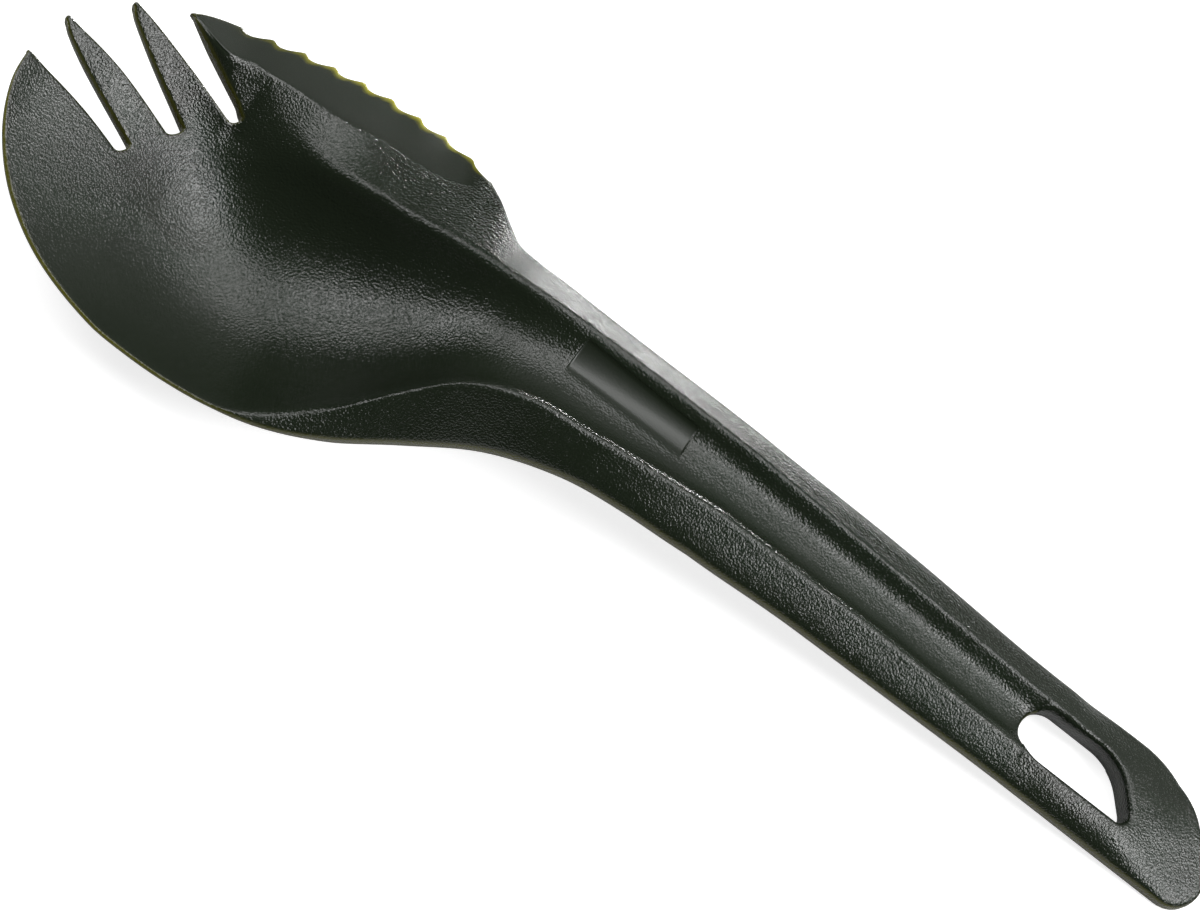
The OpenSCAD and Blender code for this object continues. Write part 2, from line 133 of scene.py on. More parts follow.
print("tables read:", len([LIP, LIP_LEVEL, SHOULDER_WIDTH, SHOULDER_RISE, RIDGE, RIDGE_DROP, BLADE,
                           BLADE_LEVEL, HOLLOW, BEVEL]))


# %% The long lines on the spoon side: their place across and their level
RAIL_SWELL, SWELL_START, SWELL_LENGTH = .55, 79, 33
CREST_SHIFT, SHIFT_FADES = .6, (118, 138)


def half_width(x):
    return mix(NECK_HALF, END_HALF, along_channel(x))


def half_channel(x):
    return mix(CHANNEL_HALF, HOLE_HALF, along_channel(x))


def crest_level(x):
    return mix(CREST, END_CREST, along_channel(x))


def rail_swell(x):
    """The handle's spoon side swells a little where it leaves the neck."""
    return RAIL_SWELL * math.sin(math.pi * min(max((x - SWELL_START) / SWELL_LENGTH, 0), 1)) ** 2


def lip_y(x):
    return -half_width(x) - rail_swell(x) - (SPOON_REACH - NECK_HALF) * curve(LIP, station(x))


def lip_z(x):
    return -RIM_DROP * curve(LIP_LEVEL, station(x))


def near_crest_y(x):
    if x > HEAD:
        return CREST_SHIFT * (1 - ease(x, *SHIFT_FADES)) - half_channel(x)
    return lip_y(x) + rail_swell(x) + RAIL * curve(SHOULDER_WIDTH, station(x))


def near_crest_z(x):
    return lip_z(x) + crest_level(x) * curve(SHOULDER_RISE, station(x))


print("near crest at x 110:", [round(line(110), 2) for line in (near_crest_y, near_crest_z)], "mm")

# %% The long lines on the blade side, and the depth of the hollow
BLADE_SWELL = .35


def ridge_y(x):
    return half_channel(x) * curve(RIDGE, station(x))


def ridge_z(x):
    return crest_level(x) - (CREST + RIM_DROP) * curve(RIDGE_DROP, station(x))


def blade_y(x):
    swell = BLADE_SWELL * math.sin(math.pi * along_channel(x)) ** 2
    return half_width(x) + swell + (BLADE_REACH - NECK_HALF) * curve(BLADE, station(x))


def blade_z(x):
    return -RIM_DROP * curve(BLADE_LEVEL, station(x))


def hollow_depth(x):
    plain = mix(CHANNEL_DEPTH, END_CREST, along_channel(x))
    return plain + (BOWL_DEPTH - CHANNEL_DEPTH) * curve(HOLLOW, station(x))


print("width over lip and blade at x 42:", round(blade_y(42) - lip_y(42), 2), "mm")

# %% [markdown]
# ## The blade's scallops
# The cutting edge has long shallow scallops with a sharp tooth between each two. Each drops steeply
# behind its tooth and rises slowly to the next, as a ground knife does. A power of the way along the
# scallop shifts its deepest point, so one sine gives the lopsided form.

# %% Teeth along the blade
TOOTH_PITCH, TOOTH_DEPTH, TOOTH_LAND, TOOTH_SKEW = 3.95, 0.75, 0.12, 0.6
FIRST_TOOTH, HEEL = 0.19 * HEAD, 0.548 * HEAD


def cutting_y(x):
    if not FIRST_TOOTH < x < HEEL:
        return blade_y(x)
    phase = (x - FIRST_TOOTH) / TOOTH_PITCH % 1.0
    way = min(phase / (1 - TOOTH_LAND), 1)
    return blade_y(x) - TOOTH_DEPTH * math.sin(math.pi * way ** TOOTH_SKEW)


print("teeth:", math.floor((HEEL - FIRST_TOOTH) / TOOTH_PITCH) + 1)

# %% [markdown]
# ## A net of rows and columns
# The skin starts as a flat grid. Its columns run along the spork and its rows across it, and each grid
# point is then moved to its place. Columns are gathered where something ends or bends: at the lip, at
# both sides of each tine, along the crests and at the blade's edge. The tines fix where a column
# starts, so a column is known by its band and its way across that band.

# %% Tine tips and slot corners
def at(along, across):
    return Vector((HEAD * along, SPOON_REACH * across))


TIPS = [at(-.001, -.302), at(.011, -.086), at(.065, .152), at(.127, .283)]
SLOT_NEAR = [at(.152, -.31), at(.19, -.099), at(.241, .097)]
SLOT_FAR = [at(.164, -.251), at(.205, -.039), at(.254, .12)]
HALF_TIP = Vector((0, .35))
lip_root_x = .058 * HEAD
LIP_ROOT = Vector((lip_root_x, lip_y(lip_root_x)))
SLOT_END = Vector((SLOT_FAR[2].x, ridge_y(SLOT_FAR[2].x)))
print("slot lengths:", [round((SLOT_NEAR[i] - TIPS[i]).length, 1) for i in range(3)], "mm")

# %% Columns of the net
TINE_1 = [0, .006, .016, .03, .05, .08, .12, .17, .23, .3, .37, .43, .48, .52, .55, .58, .62, .68, .74, .8,
          .86, .91, .95, .975, .99, 1]
CREST_COLUMN = TINE_1.index(.55)
SLOT = [.06, .17, .33, .5, .67, .83, .94, 1]
TINE = [.025, .07, .14, .24, .36, .5, .62, .73, .83, .91, .955, .985, 1]
FAR = [.006, .018, .04, .07, .11, .16, .22, .29, .36, .42, .46, .485, .5, .515, .54, .58, .64, .71, .78,
       .84, .89, .93, .96, .98, .993, 1]
BEVEL_COLUMN = .5
COLUMNS = [("tine_1", k) for k in TINE_1]
for band, ways in (("slot_1", SLOT), ("tine_2", TINE), ("slot_2", SLOT), ("tine_3", TINE), ("slot_3", SLOT),
                   ("far", FAR)):
    COLUMNS += [(band, k) for k in ways]
print("columns:", len(COLUMNS))


# %% Where each column starts, on the line of the tine roots
def slot_root(a, b, k, dip=.4):
    """A point of a slot's round root between its corners a and b."""
    side = b - a
    back = Vector((side.y, -side.x)).normalized()
    return mix(a, b, k) + back * dip * math.sqrt(max(1 - (2 * k - 1) ** 2, 0))


def root_place(band, k):
    if band == "tine_1":
        return mix(LIP_ROOT, SLOT_NEAR[0], k)
    if band == "slot_1":
        return slot_root(SLOT_NEAR[0], SLOT_FAR[0], k)
    if band == "tine_2":
        return mix(SLOT_FAR[0], SLOT_NEAR[1], k)
    if band == "slot_2":
        return slot_root(SLOT_NEAR[1], SLOT_FAR[1], k)
    if band == "tine_3":
        return mix(SLOT_FAR[1], SLOT_NEAR[2], k)
    return slot_root(SLOT_NEAR[2], SLOT_END, k)


def share_across(p):
    low, high = lip_y(p.x), ridge_y(p.x)
    return (p.y - low) / (high - low)


ROOTS = [None if band == "far" else root_place(band, k) for band, k in COLUMNS]
SHARES = [None if root is None else share_across(root) for root in ROOTS]
for c, (band, k) in enumerate(COLUMNS):
    if band == "slot_3":
        SHARES[c] = mix(share_across(SLOT_NEAR[2]), 1, k)
NEAR_HOLE = COLUMNS.index(("tine_1", 1))
FAR_HOLE = COLUMNS.index(("tine_3", .5))
RIDGE_COLUMN = COLUMNS.index(("slot_3", 1))
print("shares of crest, hole sides:", [round(SHARES[i], 3) for i in (CREST_COLUMN, NEAR_HOLE, FAR_HOLE)])

# %% [markdown]
# ## Guides that pull columns onto features
# A crisp crest needs a column that runs along it. The same holds for the sides of the sunk panel and
# of the hanging hole. So three columns are guided: one to the near crest, two to the sides of panel and
# hole. The columns between them spread evenly.

# %% Guided shares
PANEL_START, PANEL_LENGTH, PANEL_HALF, PANEL_Y = .747 * HEAD, 17.0, 2.2, 1.3
PANEL_END = PANEL_START + PANEL_LENGTH
HOLE_START, HOLE_LENGTH, HOLE_SHIFT = LOOP_START + 1.5, 17.2, -.3
HOLE_FRONT = HOLE_START + HOLE_HALF
HOLE_CORNER = HOLE_HALF * math.sqrt(.5)
CORNER_X = HOLE_FRONT - HOLE_CORNER
CREST_JOIN, HANDLE_JOIN, GUIDE_TURN = (40, 53), (54, PANEL_START - 3), (PANEL_END + 4, CORNER_X - 6)


def guide_share(x, side):
    """Share across at which a side of the panel, and behind it of the hole, runs at x."""
    panel = PANEL_Y + side * PANEL_HALF
    hole = HOLE_SHIFT + side * HOLE_CORNER
    y = mix(panel, hole, ease(x, *GUIDE_TURN))
    return share_across(Vector((x, y)))


def guided(column, x):
    """Share across, from the lip to the ridge, of a column at x."""
    share = SHARES[column]
    crest, near, far = SHARES[CREST_COLUMN], SHARES[NEAR_HOLE], SHARES[FAR_HOLE]
    crest_share = share_across(Vector((x, near_crest_y(x))))
    at_crest = mix(crest, crest_share, ease(x, *CREST_JOIN))
    handle = ease(x, *HANDLE_JOIN)
    at_near, at_far = mix(near, guide_share(x, -1), handle), mix(far, guide_share(x, 1), handle)
    stops = [(0, 0), (crest, at_crest), (near, at_near), (far, at_far), (1, 1)]
    for (s0, t0), (s1, t1) in zip(stops, stops[1:]):
        if share <= s1 + 1e-9:
            return mix(t0, t1, (share - s0) / (s1 - s0))
    return 1.0


def far_share(k, x):
    """Share across, from the ridge to the cutting edge, with one column held on the bevel."""
    bevel = curve(BEVEL, station(x))
    if k <= BEVEL_COLUMN:
        return k / BEVEL_COLUMN * bevel
    return mix(bevel, 1, (k - BEVEL_COLUMN) / (1 - BEVEL_COLUMN))


def across_place(column, x):
    band, k = COLUMNS[column]
    if band == "far":
        return Vector((x, mix(ridge_y(x), cutting_y(x), far_share(k, x))))
    return Vector((x, mix(lip_y(x), ridge_y(x), guided(column, x))))


print("crest column at x 110:", [round(v, 2) for v in across_place(CREST_COLUMN, 110)])


# %% [markdown]
# ## Tines
# Each tine is a band between two edges that run from its tip to its root. The two middle tines belly out
# on their spoon side, and all tips are round in plan. The slots between them are bands of the net too,
# but their faces are deleted, so the slots need no boolean cut.

# %% Places on the tines
BELLY, BELLY_SKEW, BOW = .45, .6, .4
TIP_WAY, FIRST_TIP_WAY, FIRST_TIP_CUT = .09, .08, .35


def belly(tip, root, way):
    return mix(tip, root, way) - Vector((0, BELLY * math.sin(math.pi * way ** BELLY_SKEW)))


def bow(tip, root, way):
    return mix(tip, root, way) + Vector((0, BOW * math.sin(math.pi * way)))


def tine_edges(band, way):
    """The two edges of a tine at a way from its tip to its root."""
    if band == "tine_1":
        x = mix(TIPS[0].x, LIP_ROOT.x, way * way)
        return Vector((x, lip_y(x))), bow(TIPS[0], SLOT_NEAR[0], way)
    if band in ("tine_2", "tine_3"):
        i = 1 if band == "tine_2" else 2
        return belly(TIPS[i] - HALF_TIP, SLOT_FAR[i - 1], way), bow(TIPS[i] + HALF_TIP, SLOT_NEAR[i], way)
    x = mix(TIPS[3].x, SLOT_END.x, way)
    return mix(TIPS[3] - HALF_TIP, SLOT_END, way), Vector((x, cutting_y(x)))


def tine_place(column, way):
    band, k = COLUMNS[column]
    if column == RIDGE_COLUMN:
        band, k = "far", 0
    if band.startswith("slot") and k < 1:
        return root_place(band, k)
    if band.startswith("slot"):
        band, k = "tine_" + str(int(band[-1]) + 1), 0
    a, b = tine_edges(band, way)
    if band == "far":
        k = far_share(k, mix(a.x, b.x, k))
    if band == "tine_1":
        cut = FIRST_TIP_CUT * max(2 * k - 1, 0) ** 2 * (1 - ease(way, 0, FIRST_TIP_WAY))
        return mix(a, b, k) + Vector((cut, 0))
    round_tip = HALF_TIP.y * (1 - math.sqrt(max(1 - (2 * k - 1) ** 2, 0))) * (1 - ease(way, 0, TIP_WAY))
    return mix(a, b, k) + Vector((round_tip, 0))


print("second tine's tip:", [round(v, 2) for v in tine_place(COLUMNS.index(("tine_2", .5)), 0)])

# %% [markdown]
# ## The slanted end
# The handle's end and the hole in it have the same outline: two straight sides and a slanted end with a
# small and a large corner. The net runs round the hole like streets round a square, with four corners of
# the net on the hole's outline, so rows and columns follow both outlines.

# %% Outlines with a slanted end
END_ANGLE, ARC_STEPS = math.radians(52), 24
END_RADII, HOLE_RADII = (4.2, 14), (1.4, 7)


def arc(start, heading, turn, radius):
    centre = start + radius * Vector((-math.sin(heading), math.cos(heading)))
    angles = [heading + turn * i / ARC_STEPS for i in range(ARC_STEPS + 1)]
    return [centre + radius * Vector((math.sin(a), -math.cos(a))) for a in angles]


def slanted_sides(start, end, half, tip_radius, back_radius):
    """The near side, the slanted end and the far side, as three lists of points."""
    turn = math.pi - END_ANGLE
    tip = end + tip_radius * (math.tan(turn / 2) - 1)
    near = arc(Vector((tip - tip_radius * math.tan(turn / 2), -half)), 0, turn, tip_radius)
    back = tip - 2 * half / math.tan(END_ANGLE)
    reach = back_radius * math.tan(END_ANGLE / 2)
    far_start = Vector((back + reach * math.cos(END_ANGLE), half - reach * math.sin(END_ANGLE)))
    far = arc(far_start, turn, END_ANGLE, back_radius)
    middle = ARC_STEPS // 2
    near_side = [Vector((start, -half))] + near[:middle + 1]
    far_side = [Vector((start, half))] + far[:middle - 1:-1]
    return near_side, near[middle:] + far[:middle + 1], far_side


def walk(line, way):
    """The point at a share of the length of a line of points."""
    lengths = [(b - a).length for a, b in zip(line, line[1:])]
    left = way * sum(lengths)
    for a, b, length in zip(line, line[1:], lengths):
        if left <= length and length > 0:
            return mix(a, b, left / length)
        left -= length
    return line[-1]


OUTER_NEAR, OUTER_END, OUTER_FAR = slanted_sides(CORNER_X, LENGTH, END_HALF, *END_RADII)
hole_sides = slanted_sides(HOLE_FRONT, HOLE_START + HOLE_LENGTH, HOLE_HALF, *HOLE_RADII)
front_angles = [math.radians(45 + 5 * i) for i in range(9)]
front_near = [Vector((HOLE_FRONT - HOLE_HALF * math.cos(a), -HOLE_HALF * math.sin(a)))
              for a in front_angles]
front_far = [Vector((p.x, -p.y)) for p in front_near]
shift = Vector((0, HOLE_SHIFT))
HOLE_NEAR = [p + shift for p in front_near + hole_sides[0]]
HOLE_END = [p + shift for p in hole_sides[1]]
HOLE_FAR = [p + shift for p in front_far + hole_sides[2]]
print("hole from", round(HOLE_START, 1), "to", round(max(p.x for p in HOLE_END), 1), "mm")


# %% Places round the hole
def column_way(column):
    """Which part of the loop a column is on, and its way across that part."""
    y = [across_place(c, CORNER_X).y for c in (0, NEAR_HOLE, FAR_HOLE, len(COLUMNS) - 1, column)]
    if column <= NEAR_HOLE:
        return "near", (y[4] - y[0]) / (y[1] - y[0])
    if column < FAR_HOLE:
        return "middle", (y[4] - y[1]) / (y[2] - y[1])
    return "far", (y[4] - y[2]) / (y[3] - y[2])


LOOP_WAYS = [column_way(c) for c in range(len(COLUMNS))]
NEAR_TURN, FAR_TURN = .63, .66
NEAR_SPREAD, FAR_SPREAD = .26, .72


def hole_front_place(column):
    part, way = LOOP_WAYS[column]
    if part != "middle":
        return across_place(column, CORNER_X)
    angle = math.radians(mix(-45, 45, way))
    return Vector((HOLE_FRONT - HOLE_HALF * math.cos(angle), HOLE_SHIFT + HOLE_HALF * math.sin(angle)))


def beside_hole(column, way):
    part, across = LOOP_WAYS[column]
    if part == "near":
        return mix(walk(OUTER_NEAR, NEAR_TURN * way), walk(HOLE_NEAR, way), across)
    if part == "far":
        return mix(walk(HOLE_FAR, way), walk(OUTER_FAR, FAR_TURN * way), across)
    return walk(HOLE_END, across)


def behind_hole(column, way):
    part, across = LOOP_WAYS[column]
    spread = {"near": NEAR_SPREAD * across, "middle": mix(NEAR_SPREAD, FAR_SPREAD, across),
              "far": mix(FAR_SPREAD, 1, across)}[part]
    start, stop = beside_hole(column, 1), walk(OUTER_END, spread)
    near = walk(OUTER_NEAR, mix(NEAR_TURN, 1, way)) - mix(walk(OUTER_NEAR, NEAR_TURN), OUTER_NEAR[-1], way)
    far = walk(OUTER_FAR, mix(FAR_TURN, 1, way)) - mix(walk(OUTER_FAR, FAR_TURN), OUTER_FAR[-1], way)
    return mix(start, stop, way) + (1 - spread) * near + spread * far


print("columns beside the hole:", sum(part != "middle" for part, _ in LOOP_WAYS))

# %% [markdown]
# ## Rows of the net
# Rows are close together where a rim is rounded, at the tips, the slot roots, the hole and the end, and
# at the two ends of the panel. Elsewhere they are about a third of a millimetre apart on the head, so
# that each tooth has a dozen of them, and twice that on the handle.

# %% The list of rows
def even(a, b, count):
    return [mix(a, b, (i + 1) / count) for i in range(count)]


BOWL_END, APPROACH, PANEL_STEP = .594 * HEAD, 138.0, .25
tine_ways = [0, .006, .015, .028, .045, .065, TIP_WAY] + even(TIP_WAY, 1, 32)
bowl_ways = [.002, .005, .01, .017, .025] + even(.025, 1, 96)
handle_xs = even(BOWL_END, PANEL_START - PANEL_STEP, 22)
handle_xs += even(PANEL_START - PANEL_STEP, PANEL_START + PANEL_STEP, 5)
handle_xs += even(PANEL_START + PANEL_STEP, PANEL_END - PANEL_STEP, 20)
handle_xs += even(PANEL_END - PANEL_STEP, PANEL_END + PANEL_STEP, 5)
handle_xs += even(PANEL_END + PANEL_STEP, APPROACH, 66)
approach_ways = [.2, .4, .57, .7, .8, .87, .92, .955, .98, .993, 1]
hole_ways = even(0, 1, 34)
end_ways = [.008, .022, .045, .08, .13, .19, .26, .34, .43, .52, .61, .7, .78, .85, .9, .94, .967, .986,
            .996, 1]
ROWS = [("tine", v) for v in tine_ways]
for zone, values in (("bowl", bowl_ways), ("handle", handle_xs), ("approach", approach_ways),
                     ("hole", hole_ways), ("end", end_ways)):
    ROWS += [(zone, v) for v in values]
ROOT_ROW = len(tine_ways) - 1
HOLE_ROW = ROWS.index(("approach", 1))
HOLE_END_ROW = ROWS.index(("hole", 1.0))
print("rows:", len(ROWS), "grid points:", len(ROWS) * len(COLUMNS))


# %% The place of every grid point in plan
ROOT_FADE = .15


def plan_place(row, column):
    zone, v = ROWS[row]
    if zone == "tine":
        return tine_place(column, v)
    if zone == "bowl" and ROOTS[column] is None:
        return across_place(column, mix(SLOT_END.x, BOWL_END, v))
    if zone == "bowl":
        root = ROOTS[column]
        aside = root - across_place(column, root.x)
        return across_place(column, mix(root.x, BOWL_END, v)) + aside * (1 - ease(v, 0, ROOT_FADE))
    if zone == "handle":
        return across_place(column, v)
    if zone == "approach":
        return mix(across_place(column, APPROACH), hole_front_place(column), v)
    return beside_hole(column, v) if zone == "hole" else behind_hole(column, v)


skin = bmesh.new()
bmesh.ops.create_grid(skin, x_segments=len(ROWS) - 1, y_segments=len(COLUMNS) - 1, size=.5)
row_layer = skin.verts.layers.int.new("row")
column_layer = skin.verts.layers.int.new("column")
rim_layer = skin.verts.layers.float.new("rim")
under_layer = skin.verts.layers.float.new("under")
polish_layer = skin.verts.layers.float.new("polished")
matte_layer = skin.verts.layers.float.new("matte")
# The thin layer carries the painted glow: light through thin plastic, painted into the colour.
painted_glow_layer = skin.verts.layers.float.new("thin")
for point in skin.verts:
    point[row_layer] = round((point.co.x + .5) * (len(ROWS) - 1))
    point[column_layer] = round((point.co.y + .5) * (len(COLUMNS) - 1))
    point.co.xy = plan_place(point[row_layer], point[column_layer])
print("grid:", len(skin.verts), "points in plan")

# %% Open the slots and the hole
SLOT_COLUMNS = {c - 1 for c, (band, _) in enumerate(COLUMNS) if band.startswith("slot")}


def is_open(face):
    row = min(p[row_layer] for p in face.verts)
    column = min(p[column_layer] for p in face.verts)
    in_slot = row < ROOT_ROW and column in SLOT_COLUMNS
    in_hole = HOLE_ROW <= row < HOLE_END_ROW and NEAR_HOLE <= column < FAR_HOLE
    return in_slot or in_hole


bmesh.ops.delete(skin, geom=[f for f in skin.faces if is_open(f)], context="FACES")
print("faces left:", len(skin.faces))

# %% [markdown]
# ## How far each point is from a rim
# A moulding has no knife-sharp rims: each is rounded by the tool. To round them all in one go, the script
# measures each point's distance to the nearest open edge of the flat net. A k-d tree finds the nearest
# rim points quickly, and the exact distance is then taken to the rim edges beside them.

# %% Distance to the rim
rim_edges = [e for e in skin.edges if e.is_boundary]
rim_points = list({p for e in rim_edges for p in e.verts})
rim_tree = KDTree(len(rim_points))
for i, point in enumerate(rim_points):
    rim_tree.insert(point.co, i)
rim_tree.balance()


def edge_distance(co, edge):
    a, b = edge.verts[0].co, edge.verts[1].co
    side = b - a
    way = min(max((co - a).dot(side) / max(side.length_squared, 1e-12), 0), 1)
    return (co - a - side * way).length


def rim_distance(co):
    near = [rim_points[i] for _, i, _ in rim_tree.find_n(co, 3)]
    return min(edge_distance(co, e) for p in near for e in p.link_edges if e.is_boundary)


distances = [rim_distance(point.co) for point in skin.verts]
for point, distance in zip(skin.verts, distances):
    point[rim_layer] = distance
print("rim points:", len(rim_points), "furthest from a rim:", round(max(distances), 2), "mm")


# %% [markdown]
# ## The height of the top
# Three surfaces meet along the crests: the slope on the spoon side, the hollow of bowl and channel, and
# the slope on the blade side. The top is the lowest of the three, and a smooth minimum rounds the crest
# where two of them cross. The blade slope has its own soft crease where the bevel starts.

# %% The hollow and the slope on the spoon side
SHOULDER_START = .65 ** 2 * HEAD
BOWL_ASIDE, BOWL_POWER, CHANNEL_POWER, NECK = .2, 2.4, 3.2, (66, 86)
LEAST_SLOPE, LEAST_RAIL = .4, .01


def smooth_min(a, b, soft):
    """The lower of two heights, rounded where they are less than soft apart."""
    return min(a, b) - max(soft - abs(a - b), 0) ** 2 / (4 * soft)


def hollow_z(x, y):
    """The hollow, deepest a little on the blade's side of its middle where it is a bowl."""
    a, b = near_crest_y(x), ridge_y(x)
    t = (y - a) / (b - a)
    aside = t ** (1 + BOWL_ASIDE * max(curve(HOLLOW, station(x)), 0)) if t > 0 else t
    flat = mix(BOWL_POWER, CHANNEL_POWER, ease(x, *NECK))
    return mix(near_crest_z(x), ridge_z(x), t) - hollow_depth(x) * (1 - abs(2 * aside - 1) ** flat)


def spoon_slope_z(x, y):
    a, b = lip_y(x), near_crest_y(x)
    slope = max((near_crest_z(x) - lip_z(x)) / max(b - a, LEAST_RAIL), LEAST_SLOPE)
    return lip_z(x) + slope * (y - a)


print("bottom of the bowl at x 36:", round(min(hollow_z(36, y) for y in range(-20, 1)), 2), "mm")

# %% The slope on the blade side
FACET, FACET_FADES, BEVEL_SOFT, LEAST_WIDTH = .28, (36, 54), .15, .5
GROUND, GROUND_FADES = .3, (19, 27)
GROUND_RAMP, RAMP_GROWS = (.3, .8), (13, 20)


def inner_y(x):
    """Inner limit of the blade slope: the short tine's edge in front, the ridge behind."""
    if x > SLOT_END.x:
        return ridge_y(x)
    return mix(TIPS[3].y - HALF_TIP.y, SLOT_END.y, (x - TIPS[3].x) / (SLOT_END.x - TIPS[3].x))


def inner_z(x):
    if x > SLOT_END.x:
        return ridge_z(x)
    return mix(blade_z(TIPS[3].x), ridge_z(SLOT_END.x), (x - TIPS[3].x) / (SLOT_END.x - TIPS[3].x))


def bevel_y(x):
    return mix(inner_y(x), blade_y(x), curve(BEVEL, station(x)))


def ground_depth(x, y):
    """The flat of the blade is cut a little below the short tine's inner rim."""
    ramp = mix(*GROUND_RAMP, ease(x, *RAMP_GROWS))
    return GROUND * (1 - ease(x, *GROUND_FADES)) * ease(y, bevel_y(x) - ramp, bevel_y(x))


def blade_slope_z(x, y):
    """From the ridge to the bevel, and from there the flat of the blade down to its edge."""
    a, b = inner_y(x), blade_y(x)
    width = max(b - a, LEAST_WIDTH)
    t, bevel = (y - a) / width, (bevel_y(x) - a) / width
    low, high = inner_z(x), blade_z(x)
    middle = mix(high + FACET * (b - bevel_y(x)), mix(low, high, bevel), ease(x, *FACET_FADES))
    inner = mix(low, middle, t / bevel)
    outer = mix(middle, high, (t - bevel) / (1 - bevel))
    return smooth_min(inner, outer, BEVEL_SOFT) - ground_depth(x, y)


print("bevel at x 40:", round(blade_slope_z(40, bevel_y(40)), 2), "mm up")

# %% The sunk panel, and the lowest of the surfaces
PANEL_IN, PANEL_OUT, PANEL_RUN_OUT, PANEL_SUNK = .1, .2, 1.2, .15
RIDGE_GROWS, RIDGE_AWAY = (20.5, 24.4), 9
RIDGE_SOFT, RIDGE_SETTLES = (2.5, 1.6), (28, 38)
RIDGE_REACH, RIDGE_BEND = 1.5, .3
CREST_SHARP, CREST_SOFT = .05, (1.2, 1.6)
CREST_GROWS, CREST_SETTLES = (SHOULDER_START, 52), (64, 80)


def in_panel(x, y):
    """1 on the sunk panel, which runs out softly on its spoon side, and 0 elsewhere."""
    near, far = PANEL_Y - PANEL_HALF, PANEL_Y + PANEL_HALF
    along = ease(x, PANEL_START - PANEL_OUT, PANEL_START + PANEL_IN)
    along *= 1 - ease(x, PANEL_END - PANEL_IN, PANEL_END + PANEL_OUT)
    spoon_side = ease(y, near - PANEL_OUT, near + PANEL_RUN_OUT)
    return along * spoon_side * (1 - ease(y, far - PANEL_IN, far + PANEL_OUT))


def top_z(x, y, far):
    """The lowest of the surfaces. Among the tines the ridge hasn't begun, so its sides are kept apart."""
    hollow = hollow_z(x, y)
    away = RIDGE_AWAY * (1 - ease(x, *RIDGE_GROWS))
    soft = mix(*RIDGE_SOFT, ease(x, *RIDGE_SETTLES))
    if far:
        return smooth_min(blade_slope_z(x, y), hollow + away, soft)
    z = hollow
    if x > RIDGE_GROWS[0]:
        inside = max(ridge_y(x) - y - RIDGE_REACH, 0)
        z = smooth_min(z, blade_slope_z(x, y) + away + RIDGE_BEND * inside ** 2, soft)
    if x > SHOULDER_START:
        crest = CREST_SHARP + mix(*CREST_SOFT, ease(x, *CREST_SETTLES)) * ease(x, *CREST_GROWS)
        z = smooth_min(z, spoon_slope_z(x, y), crest)
    return z - PANEL_SUNK * in_panel(x, y)


print("channel floor and crest at x 110:", [round(top_z(110, y, False), 2) for y in (0, -4.3)])


# %% [markdown]
# ## The end with its hole
# Beside the hole the top is highest at the hole and falls to the handle's sides. Behind the hole's slanted
# end it is a nearly level plate. Distances to the outlines of hole and handle give both heights, and the
# way past the slanted end says how far a point is on the plate. The whole handle also rolls off softly
# towards its outline.

# %% Distances to the outlines of hole and handle
def tree_of(line, spacing=.05):
    length = sum((b - a).length for a, b in zip(line, line[1:]))
    count = math.ceil(length / spacing)
    tree = KDTree(count + 1)
    for i in range(count + 1):
        tree.insert(walk(line, i / count).to_3d(), i)
    tree.balance()
    return tree


front_arc = [hole_front_place(c) for c in range(NEAR_HOLE, FAR_HOLE + 1)]
hole_tree = tree_of(HOLE_NEAR[::-1] + front_arc + HOLE_FAR + HOLE_END[::-1])
near_tree, far_tree = tree_of(OUTER_NEAR), tree_of(OUTER_FAR)
print("from the hole to the end's tip:", round(hole_tree.find(Vector((LENGTH, -END_HALF, 0)))[2], 1), "mm")

# %% The height of the loop, and the roll of the handle's edges
LOOP_CROWN = .3
PLATE_SLANT, PLATE_JOIN = .857, (154, 164)
PLATE_X, PLATE_Z, PLATE_ALONG, PLATE_ACROSS = 161, END_CREST - .1, .06, .11
PLATE_RIM, PLATE_FALL, PLATE_SOFT = .25, .3, 1.6
ROLL_WIDTH, ROLL_DROP, ROLL_GROWS = 2.2, .33, (58, 76)


def at_plate(co):
    """Goes from 0 beside the hole to 1 on the plate behind its slanted end."""
    return ease(co.x + PLATE_SLANT * co.y, *PLATE_JOIN)


def loop_z(co):
    flat = Vector((co.x, co.y, 0))
    to_hole, to_near, to_far = (tree.find(flat)[2] for tree in (hole_tree, near_tree, far_tree))
    to_outer = min(to_near, to_far)
    rise = to_outer / max(to_outer + to_hole, 1e-6)
    beside = END_CREST * rise + LOOP_CROWN * math.sin(math.pi * rise)
    level = PLATE_Z + PLATE_ACROSS * co.y - PLATE_ALONG * (co.x - PLATE_X)
    plate = smooth_min(level, PLATE_RIM + PLATE_FALL * to_far, PLATE_SOFT)
    return mix(beside, plate, at_plate(co))


def edge_roll(point):
    """The wide, shallow fall of the handle's top towards its outline."""
    edge = point[rim_layer]
    if point[row_layer] >= HOLE_ROW:
        flat = Vector((point.co.x, point.co.y, 0))
        edge = min(near_tree.find(flat)[2], far_tree.find(flat)[2] + ROLL_WIDTH * at_plate(flat))
    return ROLL_DROP * max(1 - edge / ROLL_WIDTH, 0) ** 2 * ease(point.co.x, *ROLL_GROWS)


print("loop height between hole and end:", round(loop_z(Vector((164, -1, 0))), 2), "mm")


# %% [markdown]
# ## Thickness, and the last small forms
# The wall is even, but thinner at the lip, the tine tips and the blade, and a little thicker along the
# short tine. Then come a lean of the second tine, which catches the light on it, and the rounding of every
# rim, which needs only the distance that was measured before.

# %% Thickness of the plastic
LIP_BAND, LIP_FADES = 8, (46, 57)
SPINE, SPINE_BAND, SPINE_GROWS, SPINE_FADES = .4, 2, (TIPS[3].x, TIPS[3].x + 5), (20, 34)
BLADE_END, HEEL_FADE, LEAST_BEVEL = 60, 3, .1


